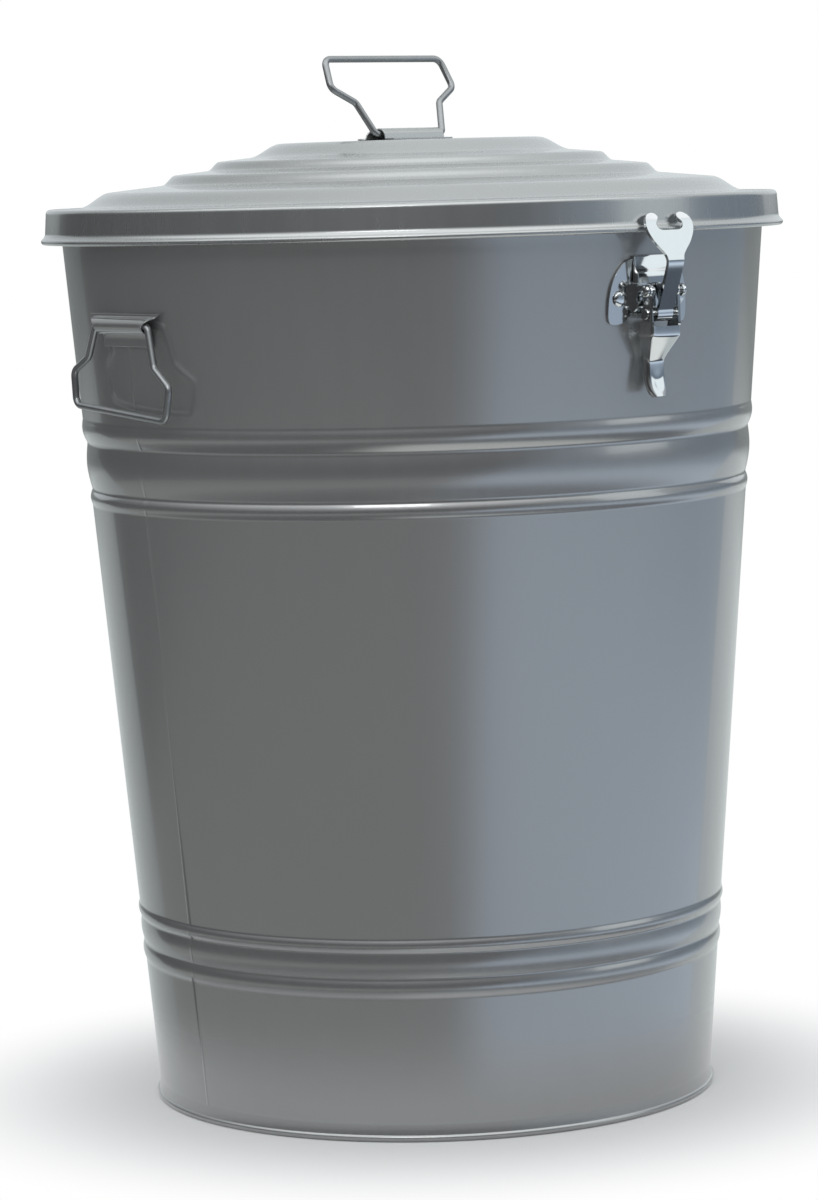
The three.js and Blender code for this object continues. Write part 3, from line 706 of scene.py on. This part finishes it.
def ear(side):
    """The ear that carries the lever's pivot, folded out of the base plate."""
    back = SEAT + PLATE_SHEET / 2
    outline = [
        (back, 4.0), (back, -2.0), (back - 0.9, -10.4), (back + 0.6, -10.8),
        *flowing([(2.6, -10.0), (4.6, -8.0), (6.6, -5.4), (9.4, -3.2)], 3),
        *arc((PIVOT_OUT_OF_WALL, 0), EAR_ROUND, -92, 100, 14),
        *flowing([(8.0, 3.0), (5.4, 2.6), (3.4, 4.0)], 3),
    ]
    mesh = bmesh.new()
    verts = [mesh.verts.new((side * EAR_MIDDLE, -out, up)) for out, up in outline]
    mesh.faces.new(verts)
    return mesh


def lever_section(up, half, front, back):
    """The lever's folded sheet at one height, from the left cheek's back edge round to the right one's."""
    inner = half - LEVER_SHEET / 2
    cut = 0.3 * LEVER_CORNER
    right = [
        (0.35 * inner, front + 0.8 * LEVER_CROWN), (0.72 * inner, front), (inner - cut, front - cut),
        (inner, front - LEVER_CORNER), (inner, 0.5 * (front + back)), (inner, back),
    ]
    line = [*((-x, out) for x, out in reversed(right)), (0.0, front + LEVER_CROWN), *right]
    return [(x, -PIVOT_OUT_OF_WALL - out, up) for x, out in line]


LEVER_STATIONS = (  # (up, half width, front, back), front and back out from the pivot
    (3.3, 10.4, 0.9, -0.9), (2.5, 10.4, 1.8, -2.3), (0.0, 10.4, 2.1, -3.3), (-6.0, 10.4, 1.9, -4.2),
    (-12.0, 10.4, 1.9, -6.2), (-16.5, 10.4, 1.9, -7.3), (-18.4, 10.4, 1.9, -7.7), (-22.6, 10.4, 1.9, -8.6),
    (-23.8, 10.2, 1.5, -8.8), (-24.6, 9.9, 0.9, -9.0), (-31.0, 7.2, -3.2, -10.0), (-35.0, 5.8, -5.6, -10.4),
    (-36.2, 5.9, -6.3, -10.5), (-37.4, 5.9, -6.7, -10.5), (-42.0, 6.1, -6.9, -10.4), (-46.0, 6.3, -6.7, -9.8),
    (-50.0, 6.3, -5.9, -8.9), (-53.0, 5.8, -4.9, -7.6), (-55.3, 4.6, -4.0, -6.0),
)


def lever():
    """The folded lever, open towards the wall, its web missing where the claw hangs in it."""
    mesh = lofted([lever_section(*station) for station in LEVER_STATIONS])
    web = [f for f in mesh.faces if f.calc_center_median().z > WEB_TOP
           and abs(f.calc_center_median().x) < LEVER_HALF - WEB_EDGE]
    bmesh.ops.delete(mesh, geom=web, context="FACES")

    def dimpled(x, y, z):
        """A thumb dimple low on the grip."""
        near = math.hypot(x, z - DIMPLE["up"]) / DIMPLE["radius"]
        in_front = abs(y + PIVOT_OUT_OF_WALL - DIMPLE["out"]) < DIMPLE["reach"]
        deep = DIMPLE["depth"] * max(0.0, 1 - near * near) if in_front else 0.0
        return Vector((x, y + deep, z))

    return shaped(mesh, dimpled)


def claw_line():
    """The claw's edge view: from its fingertips over the lip, down to the pin and round it."""
    up = LIP_TOP - LATCH_HEIGHT
    eye = PIN + PLAY + CLAW_EYE
    shank = [(LIP_OUT - 0.4, up + 4.2), (LIP_OUT + 1.4, up + 1.4), (LIP_OUT + 2.6, up - 1.8),
             (LIP_OUT + 4.8, up - 10.0), (LIP_OUT + 6.3, up - 16.4), (LIP_OUT + 7.0, up - 20.0),
             (LIP_OUT + 5.9, up - 24.0)]
    curl = arc(CLAW_PIN, eye, 20, -230, 16)
    return [*flowing(shank, 6), *curl]


def claw():
    """A crescent of two round fingers on a neck, cut flat and then bent along its edge view."""
    line = claw_line()
    marks = [0.0]
    for a, b in zip(line, line[1:]):
        marks.append(marks[-1] + math.dist(a, b))
    length = marks[-1]
    fingers = flowing([(0.0, -9.0), (5.4, -9.0), (8.2, -8.0), (9.4, -5.6), (8.0, -3.6), (6.8, -2.0),
                       (7.6, -0.1), (10.4, 0.6), (13.6, -0.4), (15.8, -3.2), (16.4, -7.0), (15.2, -11.0),
                       (12.2, -15.6), (8.6, -19.4), (6.2, -22.4), (5.5, -25.6), (5.3, -30.0)], 4)
    outline = mirrored([*fingers[1:], (5.2, -length)])
    levels = [-1.5 - CLAW_STEP * i for i in range(int(length / CLAW_STEP))]
    mesh = flat_sheet(outline, levels, (-5, 0, 5))

    def bent(x, y, z):
        """The flat sheet's height taken as a length along the edge view."""
        gone = min(max(-z, 0.0), length)
        i = max(k for k in range(len(marks) - 1) if marks[k] <= gone)
        t = (gone - marks[i]) / (marks[i + 1] - marks[i])
        out, up = (a + (b - a) * t for a, b in zip(line[i], line[i + 1]))
        if z > 0:
            out, up = out - FINGER_LEAN * z, up + z
        return Vector((x, -out, up))

    return shaped(mesh, bent)


def rivet_profile(grip, head, height, tail):
    """A domed rivet standing on the origin, head up, as (radius, height) from its tail to its crown."""
    dome = flowing([(head, 0.15 * height), (0.9 * head, 0.55 * height), (0.55 * head, 0.9 * height),
                    (0.0, height)], 4)
    return [(0.0, -grip - RIVET_TAIL), (tail - 0.3, -grip - RIVET_TAIL), (tail, -grip - 0.3),
            (tail, -grip), (PIN, -grip), (PIN, 0.0), (head - 0.25, 0.0), *dome]


def side_rivet(side):
    """A short rivet through an ear and the lever's cheek, its head outside."""
    grip = EAR_SHEET + EAR_GAP + LEVER_SHEET + 2 * SEAT
    mesh = turned(rivet_profile(grip, **SIDE_RIVET), PIN_AROUND)
    spot = (side * (EAR_MIDDLE + EAR_SHEET / 2 + SEAT), -PIVOT_OUT_OF_WALL, 0)
    return moved(mesh, Matrix.Translation(spot) @ Matrix.Rotation(side * math.pi / 2, 4, "Y"))


def wall_rivet(side):
    """A rivet through the base plate's wing and the wall."""
    seat = PLATE_SHEET + 2 * SEAT
    mesh = turned(rivet_profile(seat + BODY_SHEET + WALL_SLACK + SEAT, **WALL_RIVET), PIN_AROUND)
    outwards = Matrix.Rotation(math.pi / 2, 4, "X")
    height = LATCH_HEIGHT - RIVET_DROP
    turn = side * math.asin(RIVET_ACROSS / LATCH_WALL)
    return moved(mesh, Matrix.Rotation(turn, 4, "Z") @ Matrix.Translation((0, -wall_radius(height), height))
                 @ Matrix.Rotation(WALL_TAPER, 4, "X") @ Matrix.Translation((0, -seat, 0)) @ outwards)


def claw_pin():
    """The pin across the lever's cheeks, peened at both ends."""
    end, peen = LEVER_HALF + PIN_PAST_LEVER, PIN + PIN_PEEN
    under = end - 2 * PEEN_CUT
    half = [(0.0, end), (peen - PEEN_CUT, end), (peen, end - PEEN_CUT), (peen, under), (PIN, under)]
    mesh = turned([*half, *((radius, -height) for radius, height in reversed(half))], PIN_AROUND)
    spot = (0, -CLAW_PIN[0], CLAW_PIN[1])
    return moved(mesh, Matrix.Translation(spot) @ Matrix.Rotation(math.pi / 2, 4, "Y"))


def make_latch(end, turn):
    """One whole latch, turned to its place: base, rivets, lever, pin and claw."""
    origin = Matrix.Translation((0, -LATCH_WALL, LATCH_HEIGHT))
    facing = Matrix.Rotation(turn, 4, "Z")

    def piece(mesh, name, body, nodes, **form):
        """One bright piece of this latch."""
        return finished(mesh, f"{name}_{end}", body, nodes, "latch", LATCH_FINISH, **form)

    base = joined(wings(), bridge(), ear(-1), ear(1))
    piece(moved(base, facing @ origin), "latch_plate", "body", [f"latch_base_{end}"],
          sheet=PLATE_SHEET, edge=0.4)
    for side, word in ((-1, "left"), (1, "right")):
        piece(moved(wall_rivet(side), facing), f"plate_rivet_{word}", "body", [f"wall_rivet_{end}_{word}"])
        piece(moved(side_rivet(side), facing @ origin), f"lever_rivet_{word}", "body",
              [f"pivot_rivet_{end}_{word}"])
    piece(moved(lever(), facing @ origin), "latch_lever", f"lever_{end}", [f"lever_{end}"],
          sheet=LEVER_SHEET, edge=0.3, smooth=2)
    piece(moved(claw_pin(), facing @ origin), "latch_pin", f"lever_{end}", [f"claw_pin_{end}"])
    piece(moved(claw(), facing @ origin), "latch_claw", f"claw_{end}", [f"claw_{end}"],
          sheet=CLAW_SHEET, edge=0.5)


# ---- the studio ----

VIEW_AZIMUTH = math.radians(-40)  # round from the front latch
VIEW = {  # spot in metres, before it is turned by the azimuth, and angles in radians
    "lens": 128.9, "spot": (0.0074, -2.394, 0.5139), "yaw": -0.0062, "pitch": 0.1001, "roll": -0.0285,
}
SOFTBOX = {"azimuth": math.radians(-50), "height": 2.0, "distance": 2.4, "size": (1.2, 0.35), "power": 7.5}
AIM = (0, 0, 0.3)
EVEN_LIGHT = (0.86, 0.88, 0.90)
DAYLIGHT = (1.18, 1.27, 1.30)
BLACK, WHITE = (0, 0, 0), (1, 1, 1)

# What the metal mirrors, as (value, colour). The value is a direction's share of one of the camera's axes.
IN_FRONT = (  # upward, a dim space round the camera under a pale ceiling
    (-0.60, (0.07, 0.07, 0.07)), (-0.44, (0.16, 0.16, 0.16)), (-0.36, (0.41, 0.415, 0.41)),
    (-0.31, (0.32, 0.32, 0.315)), (-0.22, (0.26, 0.26, 0.255)), (-0.19, (0.08, 0.08, 0.08)),
    (0.00, (0.05, 0.05, 0.052)), (0.06, (0.05, 0.05, 0.05)), (0.13, (0.09, 0.09, 0.09)),
    (0.25, (0.22, 0.23, 0.24)), (0.40, (0.50, 0.51, 0.52)), (0.60, (1.25, 1.28, 1.30)),
    (0.80, (1.80, 1.84, 1.85)))
AT_WINDOW = (  # upward, a window's blue on the right
    (-0.68, (1.02, 1.05, 1.02)), (-0.62, (0.09, 0.10, 0.13)), (-0.47, (0.10, 0.12, 0.15)),
    (-0.42, (0.50, 0.58, 0.68)), (-0.36, (0.76, 0.86, 1.00)), (-0.31, (0.76, 0.87, 1.02)),
    (-0.23, (0.66, 0.77, 0.91)), (-0.18, (0.44, 0.52, 0.63)), (-0.04, (0.22, 0.27, 0.33)),
    (0.04, (0.20, 0.25, 0.31)), (0.14, (0.34, 0.42, 0.52)), (0.32, (0.54, 0.60, 0.66)),
    (0.60, (1.08, 1.08, 1.03)), (0.95, (1.3, 1.3, 1.3)))
BEHIND_CAN = (  # upward, a white wall over its skirting
    (-0.12, (0.66, 0.71, 0.71)), (-0.07, (0.24, 0.26, 0.26)), (0.00, (0.24, 0.26, 0.26)),
    (0.04, (0.80, 0.86, 0.88)), (0.40, (0.86, 0.91, 0.93)), (0.90, (1.10, 1.14, 1.15)))
SHADED = (  # rightward, the white wall's shade away from the window
    (-0.75, (0.56, 0.56, 0.56)), (-0.40, (0.78, 0.78, 0.78)), (-0.05, WHITE), (1.0, WHITE))
WINDOW_SIDE = ((0.45, BLACK), (0.70, WHITE))  # rightward less upward
BEHIND_FROM = {"slope": 0.85, "start": 0.82, "end": 0.84}  # behind, plus a share of up or down
PANE = (  # rightward, behind and upward: where daylight comes in
    ((0.30, BLACK), (0.40, WHITE), (1.0, WHITE)),
    ((-0.40, BLACK), (-0.37, WHITE), (0.07, WHITE), (0.10, BLACK)),
    ((0.04, BLACK), (0.07, WHITE), (0.55, WHITE), (0.58, BLACK)))

FLOOR = {"radius": 0.7, "color": (0.84, 0.84, 0.835), "roughness": 0.9}
WHITE_FROM = (0.16, 0.32)  # where the floor turns white for the camera, out from the can's middle
MIRRORED_TO = (0.18, 0.34)  # where it leaves off in what the metal mirrors


def make_camera():
    """The photograph's view: 2.4 m away, a little above the rim, 6 degrees down and rolled by 2."""
    data = bpy.data.cameras.new("camera")
    data.sensor_width = 36
    data.lens = VIEW["lens"]
    camera = bpy.data.objects.new("camera", data)
    bpy.context.scene.collection.objects.link(camera)
    spot = Matrix.Rotation(VIEW_AZIMUTH, 4, "Z") @ Vector(VIEW["spot"])
    camera.matrix_world = (Matrix.Translation(spot) @ Matrix.Rotation(VIEW_AZIMUTH - VIEW["yaw"], 4, "Z")
                           @ Matrix.Rotation(math.pi / 2 - VIEW["pitch"], 4, "X")
                           @ Matrix.Rotation(VIEW["roll"], 4, "Z"))
    bpy.context.scene.camera = camera


def make_softbox():
    """A soft panel high on the camera's left, which draws the streaks on the ribs."""
    data = bpy.data.lights.new("softbox", "AREA")
    data.shape = "RECTANGLE"
    data.size, data.size_y = SOFTBOX["size"]
    data.energy = SOFTBOX["power"]
    lamp = bpy.data.objects.new("softbox", data)
    bpy.context.scene.collection.objects.link(lamp)
    around, away = SOFTBOX["azimuth"], SOFTBOX["distance"]
    spot = Vector((math.sin(around) * away, -math.cos(around) * away, SOFTBOX["height"]))
    facing = (Vector(AIM) - spot).to_track_quat("-Z", "Y").to_matrix().to_4x4()
    lamp.matrix_world = Matrix.Translation(spot) @ facing


def color_ramp(tree, source, stops):
    """Colours along a value from -1 to 1."""
    node = add(tree, "ShaderNodeValToRGB")
    elements = node.color_ramp.elements
    ends = (elements[0], elements[1])
    for element, (value, color) in zip(ends, (stops[0], stops[-1])):
        element.position = 0.5 + 0.5 * value
        element.color = (*color, 1)
    for value, color in stops[1:-1]:
        elements.new(0.5 + 0.5 * value).color = (*color, 1)
    tree.links.new(worked(tree, "MULTIPLY_ADD", source, 0.5, 0.5), node.inputs[0])
    return node.outputs[0]


def mixed(tree, factor, first, second, blend="MIX"):
    """Two colours mixed by a factor."""
    node = add(tree, "ShaderNodeMix", data_type="RGBA", blend_type=blend)
    sockets = [socket for socket in node.inputs if socket.enabled]
    for source, socket in zip((factor, first, second), sockets):
        feed(tree, source, socket)
    return next(socket for socket in node.outputs if socket.enabled)


def mixed_shader(tree, factor, first, second):
    """Two shaders mixed by a factor."""
    node = add(tree, "ShaderNodeMixShader")
    for source, socket in zip((factor, first, second), node.inputs):
        tree.links.new(source, socket)
    return node.outputs[0]


def risen(tree, source, start, end, ease="LINEAR"):
    """A value that rises from 0 to 1 between a start and an end of the source."""
    node = add(tree, "ShaderNodeMapRange", interpolation_type=ease)
    node.inputs["From Min"].default_value = start
    node.inputs["From Max"].default_value = end
    tree.links.new(source, node.inputs["Value"])
    return node.outputs[0]


def mirrored_room(tree):
    """The room's colour in every direction: before the can, at the window and behind the can."""
    turn = add(tree, "ShaderNodeMapping")
    turn.inputs["Rotation"].default_value = (0, 0, -VIEW_AZIMUTH)
    split = add(tree, "ShaderNodeSeparateXYZ")
    tree.links.new(add(tree, "ShaderNodeTexCoord").outputs["Generated"], turn.inputs["Vector"])
    tree.links.new(turn.outputs["Vector"], split.inputs[0])
    rightward, behind, upward = split.outputs

    window_side = color_ramp(tree, worked(tree, "MULTIPLY_ADD", upward, -1.0, rightward), WINDOW_SIDE)
    before_can = mixed(tree, window_side, color_ramp(tree, upward, IN_FRONT),
                       color_ramp(tree, upward, AT_WINDOW))
    behind_can = mixed(tree, 1.0, color_ramp(tree, upward, BEHIND_CAN),
                       color_ramp(tree, rightward, SHADED), "MULTIPLY")
    tilt = worked(tree, "ABSOLUTE", upward)
    reach = worked(tree, "MULTIPLY_ADD", tilt, BEHIND_FROM["slope"], behind)
    past_can = risen(tree, reach, BEHIND_FROM["start"], BEHIND_FROM["end"])
    room = mixed(tree, past_can, before_can, behind_can)

    pane = 1.0
    for axis, stops in zip((rightward, behind, upward), PANE):
        pane = worked(tree, "MULTIPLY", pane, color_ramp(tree, axis, stops))
    daylight = add(tree, "ShaderNodeRGB")
    daylight.outputs[0].default_value = (*DAYLIGHT, 1)
    return mixed(tree, pane, room, daylight.outputs[0])


def make_world():
    """White where the camera looks past the can, even light on it, and a room in what the metal mirrors."""
    world = bpy.data.worlds.new("studio")
    world.use_nodes = True
    bpy.context.scene.world = world
    tree = world.node_tree
    tree.nodes.clear()
    mirrored_light, even, white = (add(tree, "ShaderNodeBackground") for _ in range(3))
    tree.links.new(mirrored_room(tree), mirrored_light.inputs["Color"])
    even.inputs["Color"].default_value = (*EVEN_LIGHT, 1)
    white.inputs["Color"].default_value = (*WHITE, 1)
    path = add(tree, "ShaderNodeLightPath")
    lit = mixed_shader(tree, path.outputs["Is Glossy Ray"], even.outputs[0], mirrored_light.outputs[0])
    seen = mixed_shader(tree, path.outputs["Is Camera Ray"], lit, white.outputs[0])
    tree.links.new(seen, add(tree, "ShaderNodeOutputWorld").inputs["Surface"])


def make_floor():
    """A pale floor that keeps the can's shadow and turns white away from it."""
    mesh = bmesh.new()
    bmesh.ops.create_circle(mesh, cap_ends=True, segments=96, radius=FLOOR["radius"])
    data = bpy.data.meshes.new("floor")
    mesh.to_mesh(data)
    mesh.free()
    floor = bpy.data.objects.new("floor", data)
    bpy.context.scene.collection.objects.link(floor)
    material = bpy.data.materials.new("pale_floor")
    material.use_nodes = True
    tree = material.node_tree
    shader = tree.nodes["Principled BSDF"]
    shader.inputs["Base Color"].default_value = (*FLOOR["color"], 1)
    shader.inputs["Roughness"].default_value = FLOOR["roughness"]
    away = add(tree, "ShaderNodeVectorMath", operation="LENGTH")
    tree.links.new(add(tree, "ShaderNodeTexCoord").outputs["Object"], away.inputs[0])
    path = add(tree, "ShaderNodeLightPath")
    surface = shader.outputs[0]
    for ray, beyond, edge in (("Is Camera Ray", add(tree, "ShaderNodeEmission"), WHITE_FROM),
                              ("Is Glossy Ray", add(tree, "ShaderNodeBsdfTransparent"), MIRRORED_TO)):
        far = risen(tree, away.outputs["Value"], *edge, ease="SMOOTHSTEP")
        seen = worked(tree, "MULTIPLY", far, path.outputs[ray])
        surface = mixed_shader(tree, seen, surface, beyond.outputs[0])
    tree.links.new(surface, tree.nodes["Material Output"].inputs["Surface"])
    data.materials.append(material)


make_camera()
make_world()
make_floor()
make_softbox()
make_wall()
make_seam()
make_pan()
make_lid()
make_handles()
make_latch("front", 0.0)
make_latch("rear", math.pi)

bpy.context.scene.view_settings.view_transform = "Standard"
